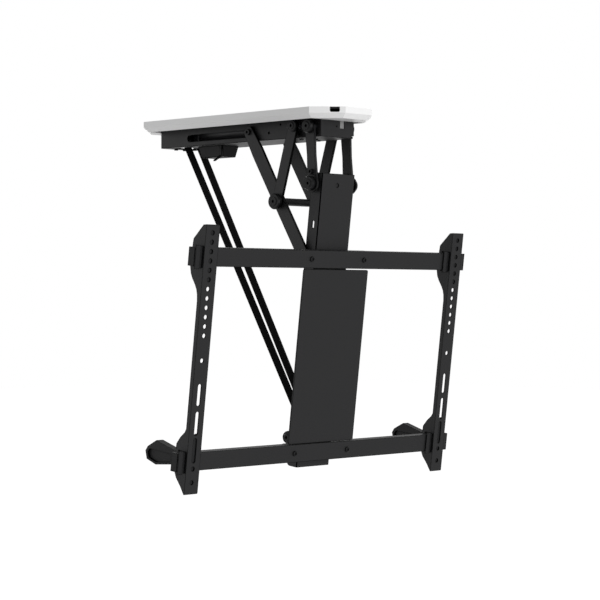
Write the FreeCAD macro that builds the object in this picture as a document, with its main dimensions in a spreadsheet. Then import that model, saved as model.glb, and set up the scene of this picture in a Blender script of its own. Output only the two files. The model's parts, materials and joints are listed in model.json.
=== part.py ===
import FreeCAD, Part
import Sketcher
import math
import os

# Motorised ceiling mount for a television, shown folded down.
# Origin: centre of the face that meets the ceiling. +X right, +Y to the rear, +Z up. Millimetres.
# What hangs on the column is drawn in the screen's own plane and then tilted with it.

Vector = FreeCAD.Vector
doc = FreeCAD.newDocument("CeilingMount")
sheet = doc.addObject("Spreadsheet::Sheet", "Sizes")

SIZES = [
    # ceiling cover and plate
    ("cover_width", 150.6),
    ("cover_long", 502.0),
    ("cover_corner", 43.0),
    ("cover_side", 10.5),
    ("cover_bevel_drop", 7.9),
    ("cover_bevel_run", 10.0),
    ("cover_wall", 2.0),
    ("cover_seat", 0.3),
    ("notch_wide", 16.6),
    ("notch_tall", 9.0),
    ("notch_shift", 12.5),
    ("notch_round", 2.6),
    ("plate_thick", 3.0),
    ("ceiling_slot_across", 104.0),
    ("ceiling_slot_end", 61.0),
    ("ceiling_slot_wide", 7.0),
    ("ceiling_slot_long", 14.0),
    # channel under the ceiling plate; what is called back is measured from its front end
    ("channel_width", 81.4),
    ("channel_inset", 51.6),
    ("channel_bottom", 47.0),
    ("channel_wall", 2.5),
    ("channel_round", 1.5),
    ("side_back", 50.6),
    ("slot_tall", 12.4),
    ("slot_front_back", 157.2),
    ("slot_rear_back", 328.6),
    ("slot_centre", -33.0),
    ("large_hole_back", 120.6),
    ("large_hole_z", -34.4),
    ("large_hole_size", 4.4),
    ("small_hole_back", 92.7),
    ("small_hole_z", -21.7),
    ("small_hole_size", 3.2),
    ("window_left", 6.6),
    ("window_wide", 10.1),
    ("window_top", -16.2),
    ("window_tall", 15.2),
    ("front_hole_x", -1.5),
    ("front_hole_z", -28.1),
    ("front_hole_size", 2.4),
    ("front_step_wide", 6.5),
    ("front_step_tall", 4.5),
    ("bracket_plate", 3.0),
    ("bracket_reach", 62.0),
    # pivots of the linkage, seen from the side
    ("crank_pivot_back", 52.3),
    ("crank_pivot_z", -26.9),
    ("link_pivot_back", 18.8),
    ("link_pivot_z", -29.0),
    ("elbow_back", 91.2),
    ("elbow_z", -153.6),
    ("link_end_back", 12.8),
    ("link_end_z", -125.7),
    ("knee_back", 33.9),
    ("knee_z", -246.2),
    ("slide_back", 165.5),
    ("slide_z", -30.9),
    # arms
    ("arm_half", 12.0),
    ("arm_tip_half", 10.2),
    ("arm_root_half", 12.6),
    ("crank_half", 10.4),
    ("link_half", 10.8),
    ("link_waist_half", 8.9),
    ("arm_thick", 5.0),
    ("side_gap", 1.0),
    ("plate_gap", 0.5),
    ("link_spacer", 2.8),
    ("bolt_size", 8.0),
    ("running_gap", 0.06),
    ("face_gap", 0.3),
    ("crank_knob_size", 21.0),
    ("crank_knob_thick", 4.4),
    ("top_knob_size", 24.0),
    ("elbow_knob_size", 27.0),
    ("link_end_disc_size", 31.0),
    ("link_end_disc_thick", 3.4),
    ("knob_thick", 8.6),
    ("knob_bevel", 1.4),
    ("knob_step", 1.2),
    ("socket_size", 5.0),
    ("socket_deep", 3.0),
    ("link_screw_size", 8.6),
    ("link_screw_up", 20.2),
    ("cross_tube_size", 13.0),
    ("slot_pin_size", 7.0),
    ("slot_washer_size", 18.0),
    # plane of the screen: where its top corner lies and how far it tilts back
    ("plane_ahead", 17.3),
    ("plane_z", -202.2),
    ("plane_tilt", 7.09),
    # column
    ("column_inset", 0.8),
    ("column_front", 22.5),
    ("column_deep", 24.3),
    ("column_top", 91.4),
    ("column_bottom", -409.0),
    ("column_wall", 2.5),
    ("ear_half", 11.0),
    ("axle_back", 44.7),
    ("axle_drop", -360.6),
    ("axle_knob_size", 22.0),
    ("sleeve_size", 21.0),
    ("flange_slot_back", 12.0),
    ("flange_slot_top", 8.0),
    ("flange_slot_wide", 5.0),
    ("flange_slot_long", 8.0),
    ("front_screw_x", -1.4),
    ("front_screw_up", 71.8),
    ("front_screw_size", 7.0),
    # cover on the column
    ("shroud_width", 157.0),
    ("shroud_front", 8.0),
    ("shroud_wall", 2.5),
    ("shroud_top", -69.4),
    ("shroud_bottom", -364.8),
    ("shroud_corner", 3.0),
    ("post_size", 10.0),
    ("post_x", 25.0),
    ("post_in", 52.0),
    # rails
    ("rail_long", 660.0),
    ("rail_tall", 30.0),
    ("rail_deep", 13.6),
    ("rail_front", 6.0),
    ("rail_wall", 1.5),
    ("upper_rail", -52.2),
    ("lower_rail", -380.5),
    ("rail_screw_x", 64.2),
    ("rail_screw_head", 9.4),
    ("rail_screw_thick", 2.4),
    ("cap_thick", 1.5),
    ("cap_plug", 8.0),
    ("cap_gap", 0.1),
    # screen brackets
    ("bracket_spacing", 600.0),
    ("bracket_width", 29.3),
    ("bracket_tall", 432.0),
    ("bracket_wall", 2.0),
    ("bracket_hole_in", 14.65),
    ("bracket_hole_first", 13.0),
    ("bracket_hole_pitch", 14.9),
    ("bracket_hole_size", 7.4),
    ("bracket_mid_hole", 216.7),
    ("bracket_round", 2.0),
    ("slot_one_top", 254.0),
    ("slot_one_low", 289.5),
    ("slot_two_top", 298.5),
    ("slot_two_low", 337.0),
    ("slot_three_top", 341.5),
    ("slot_three_low", 381.5),
    ("bracket_low_hole", 391.0),
    ("screen_pattern", 400.0),
    ("flange_thin", 7.8),
    ("lobe_reach", 69.8),
    ("low_lobe_reach", 53.7),
    ("clamp_wall", 2.2),
    ("clamp_long", 24.0),
    ("clamp_pad_reach", 46.0),
    ("clamp_pad_corner", 14.0),
    ("clamp_lip_out", 14.6),
    ("clamp_lip_gap", 4.6),
    ("clamp_lip_tall", 37.6),
    ("slide_gap", 0.3),
    ("stop_thick", 14.0),
    ("stop_recess", 3.0),
    # straps and winch
    ("strap_wide", 17.8),
    ("strap_thick", 1.2),
    ("strap_x", 15.6),
    ("strap_low_x", 9.3),
    ("strap_window_ahead", 14.0),
    ("strap_window_behind", 30.0),
    ("strap_window_side", 4.0),
    ("drum_ahead", 43.4),
    ("drum_z", -25.0),
    ("drum_core", 18.0),
    ("drum_flange", 36.0),
    ("drum_rim", 1.5),
    ("shaft_size", 8.0),
    ("bearing_half", 14.0),
    ("bearing_thick", 8.0),
    ("gearbox_leg", 14.0),
    ("motor_size", 34.0),
    ("motor_long", 118.0),
    ("saddle_thick", 10.0),
    ("saddle_side", 3.0),
    # box under the channel
    ("box_half", 17.0),
    ("box_ahead", 78.4),
    ("box_long", 60.0),
    ("box_bottom", -66.8),
    ("box_wall", 2.0),
    ("box_taper", 2.0),
    ("board_thick", 1.6),
    ("chip_tall", 5.0),
    ("hook_thick", 2.4),
    ("hook_wide", 5.0),
    ("hook_drop", 9.0),
    ("hook_reach", 14.0),
    # screws in the channel's underside
    ("under_screw_size", 7.0),
    ("under_screw_thick", 2.0),
    ("under_screw_x", 21.0),
    ("screw_back", 47.4),
]


class Size:
    """A length that keeps its value and how it is worked out from the sheet."""

    def __init__(self, value, text=None):
        self.value = float(value)
        self.text = text if text is not None else repr(float(value))

    def __add__(self, other):
        other = as_size(other)
        return Size(self.value + other.value, "(%s + %s)" % (self.text, other.text))

    def __radd__(self, other):
        return as_size(other) + self

    def __sub__(self, other):
        other = as_size(other)
        return Size(self.value - other.value, "(%s - %s)" % (self.text, other.text))

    def __rsub__(self, other):
        return as_size(other) - self

    def __mul__(self, other):
        other = as_size(other)
        return Size(self.value * other.value, "(%s * %s)" % (self.text, other.text))

    def __rmul__(self, other):
        return as_size(other) * self

    def __truediv__(self, other):
        other = as_size(other)
        return Size(self.value / other.value, "(%s / %s)" % (self.text, other.text))

    def __neg__(self):
        return Size(-self.value, "(0 - %s)" % self.text)


def as_size(number):
    return number if isinstance(number, Size) else Size(number)


def cos(angle):
    return Size(math.cos(math.radians(angle.value)), "cos(%s)" % angle.text)


def sin(angle):
    return Size(math.sin(math.radians(angle.value)), "sin(%s)" % angle.text)


class Sheet:
    """The driving sizes by name."""


S = Sheet()
for row, (word, number) in enumerate(SIZES, start=1):
    sheet.set("A%d" % row, word)
    sheet.set("B%d" % row, str(number))
    sheet.setAlias("B%d" % row, word)
    setattr(S, word, Size(number, "Sizes." + word))
doc.recompute()

# what follows from them: the channel's ends, and everything that keeps its place from one of them
CHANNEL_LONG = S.cover_long - S.channel_inset * 2
FRONT = -CHANNEL_LONG / 2
REAR = CHANNEL_LONG / 2
for word in ("crank_pivot", "link_pivot", "elbow", "link_end", "knee", "slide"):
    setattr(S, word + "_y", FRONT + getattr(S, word + "_back"))
S.plane_y = FRONT - S.plane_ahead
S.drum_y = REAR - S.drum_ahead
S.box_rear = REAR - S.box_ahead
S.box_front = S.box_rear - S.box_long
S.ceiling_slot_along = S.cover_long - S.ceiling_slot_end * 2
S.column_width = S.channel_width - S.column_inset * 2
S.arm_plane = S.channel_width / 2 + S.side_gap
S.crank_plane = S.arm_plane + S.arm_thick + S.plate_gap
S.link_plane = S.channel_width / 2 - S.channel_wall + S.link_spacer

nodes = {}


def body(name):
    """A new body, whose label is the node's name."""
    made = doc.addObject("PartDesign::Body", name)
    made.Label = name
    doc.recompute()
    nodes[name] = made
    return made


def sketch(owner, plane, offset=0):
    """A sketch on one of the body's own planes, moved along the plane's normal."""
    base = [o for o in owner.Origin.OriginFeatures if o.Role == plane + "_Plane"][0]
    made = owner.newObject("Sketcher::SketchObject", owner.Name + "_sketch")
    made.AttachmentSupport = [(base, "")]
    made.MapMode = "FlatFace"
    offset = as_size(offset)
    made.AttachmentOffset = FreeCAD.Placement(Vector(0, 0, offset.value), FreeCAD.Rotation())
    made.setExpression(".AttachmentOffset.Base.z", offset.text)
    return made


def fix(made, kind, *where):
    """A constraint whose last value is a Size and stays bound to the sheet."""
    size = as_size(where[-1])
    number = made.addConstraint(Sketcher.Constraint(kind, *where[:-1], size.value))
    made.setExpression("Constraints[%d]" % number, size.text)


def outline(made, points):
    """A closed outline of straight lines through points, each a pair of sizes."""
    points = [(as_size(x), as_size(y)) for x, y in points]
    first = made.GeometryCount
    count = len(points)
    for i, (x, y) in enumerate(points):
        nx, ny = points[(i + 1) % count]
        line = Part.LineSegment(Vector(x.value, y.value, 0), Vector(nx.value, ny.value, 0))
        made.addGeometry(line, False)
    for i, (x, y) in enumerate(points):
        made.addConstraint(Sketcher.Constraint("Coincident", first + i, 2, first + (i + 1) % count, 1))
        fix(made, "DistanceX", -1, 1, first + i, 1, x)
        fix(made, "DistanceY", -1, 1, first + i, 1, y)
    return made


def circle(made, x, y, radius):
    x, y, radius = as_size(x), as_size(y), as_size(radius)
    number = made.addGeometry(Part.Circle(Vector(x.value, y.value, 0), Vector(0, 0, 1), radius.value), False)
    fix(made, "DistanceX", -1, 1, number, 3, x)
    fix(made, "DistanceY", -1, 1, number, 3, y)
    fix(made, "Radius", number, radius)
    return made


def bar(made, x0, y0, x1, y1, radius, radius_end=None):
    """A bar with round ends about two points, which may differ in width: two arcs and two lines."""
    x0, y0, x1, y1, radius = [as_size(q) for q in (x0, y0, x1, y1, radius)]
    low_radius = radius if radius_end is None else as_size(radius_end)
    start, end = Vector(x0.value, y0.value, 0), Vector(x1.value, y1.value, 0)
    apart = (end - start).Length
    lead = math.atan2(end.y - start.y, end.x - start.x)
    # the lines leave each round end where both ends share a tangent
    open_angle = math.acos((radius.value - low_radius.value) / apart)
    first = made.GeometryCount
    top = Part.Circle(start, Vector(0, 0, 1), radius.value)
    low = Part.Circle(end, Vector(0, 0, 1), low_radius.value)
    left, right = lead + open_angle, lead - open_angle
    left_way = Vector(math.cos(left), math.sin(left), 0)
    right_way = Vector(math.cos(right), math.sin(right), 0)
    made.addGeometry(Part.ArcOfCircle(top, left, right + 2 * math.pi), False)
    made.addGeometry(
        Part.LineSegment(start + right_way * radius.value, end + right_way * low_radius.value), False)
    made.addGeometry(Part.ArcOfCircle(low, right, left), False)
    made.addGeometry(
        Part.LineSegment(end + left_way * low_radius.value, start + left_way * radius.value), False)
    for a, pa, b, pb in ((0, 2, 1, 1), (1, 2, 2, 1), (2, 2, 3, 1), (3, 2, 0, 1)):
        made.addConstraint(Sketcher.Constraint("Tangent", first + a, pa, first + b, pb))
    fix(made, "DistanceX", -1, 1, first, 3, x0)
    fix(made, "DistanceY", -1, 1, first, 3, y0)
    fix(made, "DistanceX", -1, 1, first + 2, 3, x1)
    fix(made, "DistanceY", -1, 1, first + 2, 3, y1)
    fix(made, "Radius", first, radius)
    if radius_end is not None:
        fix(made, "Radius", first + 2, low_radius)
    return made


def grown(feature):
    """Recomputes and makes sure that a feature gave a shape."""
    doc.recompute()
    if "Invalid" in feature.State or feature.Shape.isNull():
        raise RuntimeError("%s: %s" % (feature.Name, feature.getStatusString()))
    return feature


def pad(owner, made, length, reverse=False, middle=False):
    feature = owner.newObject("PartDesign::Pad", owner.Name + "_pad")
    feature.Profile = made
    feature.setExpression("Length", as_size(length).text)
    feature.Reversed = reverse
    feature.Midplane = middle
    return grown(feature)


def pocket(owner, made, length, reverse=False, middle=False):
    before = owner.Shape.Volume
    feature = owner.newObject("PartDesign::Pocket", owner.Name + "_pocket")
    feature.Profile = made
    feature.setExpression("Length", as_size(length).text)
    feature.Reversed = reverse
    feature.Midplane = middle
    grown(feature)
    if owner.Shape.Volume > before - 1e-3:
        raise RuntimeError("%s: a pocket cuts nothing" % owner.Name)
    return feature


def rounded(owner, pick, radius, kind="Fillet"):
    """Rounds or chamfers the edges of the body that pick chooses."""
    shape = owner.Shape
    chosen = ["Edge%d" % (i + 1) for i, edge in enumerate(shape.Edges) if pick(edge)]
    if not chosen:
        raise RuntimeError("%s: no edge to round" % owner.Name)
    base = owner.Tip
    feature = owner.newObject("PartDesign::" + kind, owner.Name + "_" + kind.lower())
    feature.Base = (base, chosen)
    feature.setExpression("Radius" if kind == "Fillet" else "Size", as_size(radius).text)
    return grown(feature)


def along(axis, spot=None):
    """Chooses straight edges along an axis, where spot says so of their middle."""

    def pick(edge):
        if edge.Curve.TypeId != "Part::GeomLine":
            return False
        way = edge.tangentAt(edge.FirstParameter)
        if abs(abs(way.dot(axis)) - 1) > 1e-6:
            return False
        return spot is None or spot(edge.CenterOfMass)

    return pick


ALONG_X, ALONG_Y, ALONG_Z = Vector(1, 0, 0), Vector(0, 1, 0), Vector(0, 0, 1)


def turned(name, profile, y, z, group=None):
    """A piece turned about an axis along X through (y, z); profile holds (x, radius) points."""
    owner = group or body(name)
    made = sketch(owner, "XZ")
    outline(made, profile)
    feature = owner.newObject("PartDesign::Revolution", name + "_turn")
    feature.Profile = made
    feature.ReferenceAxis = (made, ["H_Axis"])
    feature.Angle = 360
    grown(feature)
    place(owner, 0, y, z)
    return owner


def place(owner, x, y, z, angle=None):
    """Puts a body at a point, turned about X."""
    x, y, z = as_size(x), as_size(y), as_size(z)
    turn = FreeCAD.Rotation(Vector(1, 0, 0), as_size(angle or 0).value)
    owner.Placement = FreeCAD.Placement(Vector(x.value, y.value, z.value), turn)
    owner.setExpression(".Placement.Base.x", x.text)
    owner.setExpression(".Placement.Base.y", y.text)
    owner.setExpression(".Placement.Base.z", z.text)
    if angle is not None:
        owner.setExpression(".Placement.Rotation.Angle", as_size(angle).text)
    doc.recompute()


def on_screen_plane(owner):
    """Tilts a body that was drawn in the screen's plane: x across, y to the rear, z up the plane."""
    place(owner, 0, S.plane_y, S.plane_z, S.plane_tilt)
    return owner


def screen_point(y, z):
    """The (rearward, up) place in the screen's plane of a point of the mount's side view."""
    dy, dz = y - S.plane_y, z - S.plane_z
    c, s = cos(S.plane_tilt), sin(S.plane_tilt)
    return dy * c + dz * s, dz * c - dy * s


def mount_point(back, up):
    """The side view's (y, z) of a point in the screen's plane."""
    c, s = cos(S.plane_tilt), sin(S.plane_tilt)
    return S.plane_y + back * c - up * s, S.plane_z + back * s + up * c


def hexagon(made, radius, x=0, y=0):
    half = math.sqrt(3) / 2
    corners = ((1, 0), (0.5, half), (-0.5, half), (-1, 0), (-0.5, -half), (0.5, -half))
    return outline(made, [(x + radius * a, y + radius * b) for a, b in corners])


def octagon(made, half_x, half_y, corner):
    points = []
    for sx, sy, turn in ((1, -1, 0), (1, 1, 1), (-1, 1, 0), (-1, -1, 1)):
        pair = [((half_x - corner) * sx, half_y * sy), (half_x * sx, (half_y - corner) * sy)]
        points += pair[::-1] if turn else pair
    return outline(made, points)


def rectangle(made, x0, y0, x1, y1):
    return outline(made, [(x0, y0), (x1, y0), (x1, y1), (x0, y1)])


SIDES = (("left", -1), ("right", 1))
BORE = S.bolt_size / 2 + S.running_gap


def cover_sections(owner, inset):
    """Outlines of the cover at its top, at its bevel and at its lowest edge, moved in by a wall."""
    slant = 2 - math.sqrt(2)
    half_x, half_y = S.cover_width / 2 - inset, S.cover_long / 2 - inset
    corner = S.cover_corner - slant * inset
    run = S.cover_bevel_run
    lowest = sketch(owner, "XY", -S.cover_side - S.cover_bevel_drop)
    return (
        octagon(sketch(owner, "XY"), half_x, half_y, corner),
        octagon(sketch(owner, "XY", -S.cover_side), half_x, half_y, corner),
        octagon(lowest, half_x - run, half_y - run, corner - slant * run),
    )


def lofted(owner, kind, first, last):
    """A straight-sided loft between two sketches, added to the body or cut from it."""
    loft = owner.newObject("PartDesign::" + kind, owner.Name + "_loft")
    loft.Profile = first
    loft.Sections = [(last, [""])]
    loft.Ruled = True
    return grown(loft)


def ceiling_cover():
    """White shell: chamfered corners, an upright side and a bevel, open over the channel."""
    owner = body("ceiling_cover")
    top, edge, low = cover_sections(owner, as_size(0))
    pad(owner, top, S.cover_side, reverse=True)
    lofted(owner, "AdditiveLoft", edge, low)
    top, edge, low = cover_sections(owner, S.cover_wall)
    low.setExpression(".AttachmentOffset.Base.z", (-S.cover_side - S.cover_bevel_drop + S.cover_wall).text)
    pocket(owner, top, S.cover_side)
    lofted(owner, "SubtractiveLoft", edge, low)
    half = S.cover_width / 2 - S.cover_bevel_run - S.cover_seat
    opening = sketch(owner, "XY", -S.cover_side)
    rectangle(opening, -half, FRONT - 4, half, REAR + 4)
    pocket(owner, opening, S.cover_bevel_drop + 1)
    # notch for the cable, in the front left corner's slanted wall
    mid_x = -S.cover_width / 2 + S.cover_corner / 2
    mid_y = -S.cover_long / 2 + S.cover_corner / 2
    root = math.sqrt(0.5)
    notch = sketch(owner, "XY")
    points = []
    for a, b in ((-1, -1), (1, -1), (1, 1), (-1, 1)):
        step = S.notch_shift + S.notch_wide / 2 * a
        out = S.cover_wall * 2 * b
        points.append((mid_x + (step - out) * root, mid_y - (step + out) * root))
    outline(notch, points)
    pocket(owner, notch, S.notch_tall)
    inward = Vector(math.sqrt(0.5), math.sqrt(0.5), 0)
    rounded(owner, along(inward, lambda c: c.x < 0 and c.y < 0 and abs(c.z + S.notch_tall.value) < 0.1),
            S.notch_round)


def ceiling_plate():
    """Steel plate inside the cover: four long slots for the ceiling screws."""
    owner = body("ceiling_plate")
    inset = S.cover_wall + S.cover_seat
    corner = S.cover_corner - (2 - math.sqrt(2)) * inset
    outer = sketch(owner, "XY")
    octagon(outer, S.cover_width / 2 - inset, S.cover_long / 2 - inset, corner)
    pad(owner, outer, S.plate_thick, reverse=True)
    slots = sketch(owner, "XY")
    reach = S.ceiling_slot_long / 2 - S.ceiling_slot_wide / 2
    for sx in (-1, 1):
        for sy in (-1, 1):
            x, y = S.ceiling_slot_across / 2 * sx, S.ceiling_slot_along / 2 * sy
            bar(slots, x - reach, y, x + reach, y, S.ceiling_slot_wide / 2)
    pocket(owner, slots, S.plate_thick)


def channel():
    """Folded channel under the plate: slotted side walls, closed underside, open side at the front."""
    owner = body("channel")
    half, wall = S.channel_width / 2, S.channel_wall
    section = sketch(owner, "XZ")
    top, low = -S.plate_thick, -S.channel_bottom
    outline(section, [(-half, top), (-half, low), (half, low), (half, top), (half - wall, top),
                      (half - wall, low + wall), (-half + wall, low + wall), (-half + wall, top)])
    pad(owner, section, CHANNEL_LONG, middle=True)
    rounded(owner, along(ALONG_Y, lambda c: abs(c.z - low.value) < 0.1 and abs(abs(c.x) - half.value) < 0.1),
            S.channel_round)
    # the side walls stop short of the front, behind the upper pivots
    gap = sketch(owner, "YZ")
    rectangle(gap, FRONT - 1, low + wall + S.channel_round, FRONT + S.side_back, top + 1)
    pocket(owner, gap, S.channel_width + 2, middle=True)
    # round seats that clear the spacers of the crank's bolts
    seat = circle(sketch(owner, "YZ"), S.crank_pivot_y, S.crank_pivot_z, S.bolt_size)
    pocket(owner, seat, S.channel_width + 2, middle=True)
    # long slot that guides the arms' upper ends
    slot = sketch(owner, "YZ")
    end = S.slot_tall / 2
    first, last = FRONT + S.slot_front_back + end, FRONT + S.slot_rear_back - end
    bar(slot, first, S.slot_centre, last, S.slot_centre, end)
    pocket(owner, slot, S.channel_width + 2, middle=True)
    # small holes of the side walls
    holes = sketch(owner, "YZ")
    circle(holes, FRONT + S.large_hole_back, S.large_hole_z, S.large_hole_size / 2)
    circle(holes, FRONT + S.small_hole_back, S.small_hole_z, S.small_hole_size / 2)
    pocket(owner, holes, S.channel_width + 2, middle=True)
    # window in the underside for the straps, opening for the leads of the box
    windows = sketch(owner, "XY", low)
    reach = S.strap_x + S.strap_wide / 2 + S.strap_window_side
    rectangle(windows, -reach, S.drum_y - S.strap_window_ahead, reach, S.drum_y + S.strap_window_behind)
    mid = (S.box_front + S.box_rear) / 2
    lead = S.box_half / 2
    rectangle(windows, -lead, mid - lead, lead, mid + lead)
    pocket(owner, windows, wall + 1, reverse=True)


def channel_front():
    """Front plate of the channel, with its window, a small hole and a stepped lower corner."""
    owner = body("channel_front")
    half = S.channel_width / 2
    plate = sketch(owner, "XZ", -FRONT)
    low = -S.channel_bottom
    step_x, step_z = half - S.front_step_wide, low + S.front_step_tall
    outline(plate, [(-half, low), (step_x, low), (step_x, step_z), (half, step_z), (half, -S.plate_thick),
                    (-half, -S.plate_thick)])
    pad(owner, plate, S.channel_wall)
    holes = sketch(owner, "XZ", -FRONT + S.channel_wall + 1)
    rectangle(holes, S.window_left, S.window_top - S.window_tall, S.window_left + S.window_wide, S.window_top)
    circle(holes, S.front_hole_x, S.front_hole_z, S.front_hole_size / 2)
    pocket(owner, holes, S.channel_wall + 2)


def pivot_bracket():
    """Folded steel bracket under the plate that carries both upper pivots on each side."""
    owner = body("pivot_bracket")
    outer = S.channel_width / 2 - S.channel_wall
    wall = S.bracket_plate
    section = sketch(owner, "XZ", -FRONT)
    top, low = -S.plate_thick, -S.channel_bottom + S.channel_wall
    inner, roof = outer - wall, top - wall
    outline(section, [(-outer, top), (outer, top), (outer, low), (inner, low), (inner, roof), (-inner, roof),
                      (-inner, low), (-outer, low)])
    pad(owner, section, S.bracket_reach, reverse=True)
    holes = sketch(owner, "YZ")
    circle(holes, S.crank_pivot_y, S.crank_pivot_z, S.bolt_size / 2)
    circle(holes, S.link_pivot_y, S.link_pivot_z, S.bolt_size / 2)
    pocket(owner, holes, S.channel_width, middle=True)
    # tubes between its walls, which the bolts are screwed into
    tubes = body("pivot_tubes")
    tube = S.bolt_size
    made = sketch(tubes, "YZ")
    for y, z in ((S.crank_pivot_y, S.crank_pivot_z), (S.link_pivot_y, S.link_pivot_z)):
        circle(made, y, z, tube)
        circle(made, y, z, BORE)
    pad(tubes, made, inner * 2, middle=True)


def knob_profile(side, seat, radius, tip, thick, disc=None):
    """Profile of a domed bolt: its head sits on the face at seat and its shank ends at tip."""
    shank = S.bolt_size / 2
    foot = seat
    points = [(tip, 0), (tip, shank), (seat, shank)]
    if disc is not None:
        # wide disc under the head
        foot = seat + S.link_end_disc_thick
        points += [(seat, disc), (foot - S.knob_bevel / 2, disc), (foot, disc - S.knob_bevel / 2)]
    face = foot + thick
    brow = radius * 0.62
    points += [(foot, radius), (foot + thick * 0.55, radius), (face - S.knob_step, radius - S.knob_bevel),
               (face - S.knob_step, brow), (face, brow - S.knob_step), (face, 0)]
    return [(as_size(x) * side, as_size(r)) for x, r in points], face


def domed_bolt(name, side, seat, radius, tip, y, z, thick=None, disc=None):
    """Domed bolt with a hexagon socket, its axis along X."""
    profile, face = knob_profile(side, seat, radius, tip, thick or S.knob_thick, disc)
    owner = turned(name, profile, y, z)
    socket = hexagon(sketch(owner, "YZ", face * side), S.socket_size / math.sqrt(3))
    pocket(owner, socket, S.socket_deep, reverse=side < 0)
    return owner


def sleeve(name, x0, x1, outer, inner, y, z):
    """A plain sleeve or washer about an axis along X."""
    profile = [(x0, inner), (x1, inner), (x1, outer), (x0, outer)]
    return turned(name, profile, y, z)


def pivots():
    """Bolts of the two upper pivots, with the spacers that hold the links off the bracket."""
    inner = S.channel_width / 2 - S.channel_wall
    for word, side in SIDES:
        seat = S.crank_plane + S.arm_thick + S.face_gap
        domed_bolt("crank_bolt_" + word, side, seat, S.crank_knob_size / 2, inner - S.bolt_size,
                   S.crank_pivot_y, S.crank_pivot_z, S.crank_knob_thick)
        domed_bolt("link_bolt_" + word, side, S.link_plane + S.arm_thick + S.face_gap, S.top_knob_size / 2,
                   inner - S.bolt_size, S.link_pivot_y, S.link_pivot_z)
        sleeve("crank_spacer_" + word, inner * side, (S.crank_plane - S.face_gap) * side,
               S.bolt_size * 0.85, S.bolt_size / 2, S.crank_pivot_y, S.crank_pivot_z)
        sleeve("link_spacer_" + word, inner * side, (S.link_plane - S.face_gap) * side,
               S.bolt_size * 1.1, S.bolt_size / 2, S.link_pivot_y, S.link_pivot_z)


def link_bar(name, side, plane, stops, bores):
    """Flat bar with round ends through stops, each (y, z, half width); bores are (y, z, radius)."""
    owner = body(name)
    start = plane if side > 0 else -plane - S.arm_thick
    for (y0, z0, half), (y1, z1, half_end) in zip(stops, stops[1:]):
        same = half_end.text == half.text
        made = bar(sketch(owner, "YZ", start), y0, z0, y1, z1, half, None if same else half_end)
        pad(owner, made, S.arm_thick)
    holes = sketch(owner, "YZ", start)
    for y, z, bore in bores:
        circle(holes, y, z, bore)
    pocket(owner, holes, S.arm_thick, reverse=True)
    return owner


def cranks():
    """Pair of cranks from the upper pivot to the elbow, tied by the cross tube."""
    tube_end = S.arm_plane - S.face_gap
    for word, side in SIDES:
        stops = [(S.crank_pivot_y, S.crank_pivot_z, S.crank_half), (S.elbow_y, S.elbow_z, S.crank_half)]
        bores = [(S.crank_pivot_y, S.crank_pivot_z, BORE), (S.elbow_y, S.elbow_z, S.bolt_size / 2)]
        link_bar("crank_" + word, side, S.crank_plane, stops, bores)
        domed_bolt("elbow_bolt_" + word, side, S.crank_plane + S.arm_thick, S.elbow_knob_size / 2,
                   tube_end - S.cross_tube_size, S.elbow_y, S.elbow_z)
    owner = body("cross_tube")
    ring = sketch(owner, "YZ")
    circle(ring, 0, 0, S.cross_tube_size / 2)
    circle(ring, 0, 0, S.bolt_size / 2)
    pad(owner, ring, tube_end * 2, middle=True)
    place(owner, 0, S.elbow_y, S.elbow_z)


def long_arms():
    """Pair of long bent arms: guided in the channel's slot, held at the elbow, with the knee below."""
    wall_in = S.channel_width / 2 - S.channel_wall
    # the arm widens quickly below its tip
    share = 0.3
    swell_y = S.slide_y + (S.elbow_y - S.slide_y) * share
    swell_z = S.slide_z + (S.elbow_z - S.slide_z) * share
    stops = [(S.slide_y, S.slide_z, S.arm_tip_half), (swell_y, swell_z, S.arm_root_half),
             (S.elbow_y, S.elbow_z, S.arm_half), (S.knee_y, S.knee_z, S.arm_half)]
    bores = [(S.slide_y, S.slide_z, S.slot_pin_size / 2), (S.elbow_y, S.elbow_z, BORE),
             (S.knee_y, S.knee_z, S.bolt_size / 2)]
    for word, side in SIDES:
        link_bar("long_arm_" + word, side, S.arm_plane, stops, bores)
        # pin through the slot: washer inside the wall, thin washer outside it, screw head on the arm
        pin, washer = S.slot_pin_size / 2, S.slot_washer_size / 2
        seat = S.arm_plane + S.arm_thick
        profile = [(wall_in - 4, 0), (wall_in - 4, pin), (wall_in - 3, pin), (wall_in - 3, washer),
                   (wall_in - S.face_gap, washer), (wall_in - S.face_gap, pin), (seat, pin),
                   (seat, pin + 2), (seat + 3, pin + 2), (seat + 3.6, pin + 1.4), (seat + 3.6, 0)]
        owner = turned("slot_pin_" + word, [(x * side, r) for x, r in profile], S.slide_y, S.slide_z)
        socket = hexagon(sketch(owner, "YZ", (seat + 3.6) * side), S.socket_size / math.sqrt(3))
        pocket(owner, socket, 2, reverse=side < 0)
        # knee bolt, with a shoulder that keeps the arm off the column
        flange = S.column_width / 2
        shoulder = flange + S.face_gap
        nut = flange - S.column_wall - S.face_gap
        bolt = S.bolt_size / 2
        knee = [(nut - 5, 0), (nut - 5, bolt + 3), (nut, bolt + 3), (nut, bolt), (shoulder, bolt),
                (shoulder, bolt + 4), (S.arm_plane, bolt + 4), (S.arm_plane, bolt), (seat, bolt),
                (seat, bolt + 4), (seat + 3.5, bolt + 3), (seat + 3.5, 0)]
        turned("knee_bolt_" + word, [(x * side, r) for x, r in knee], S.knee_y, S.knee_z)


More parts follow.
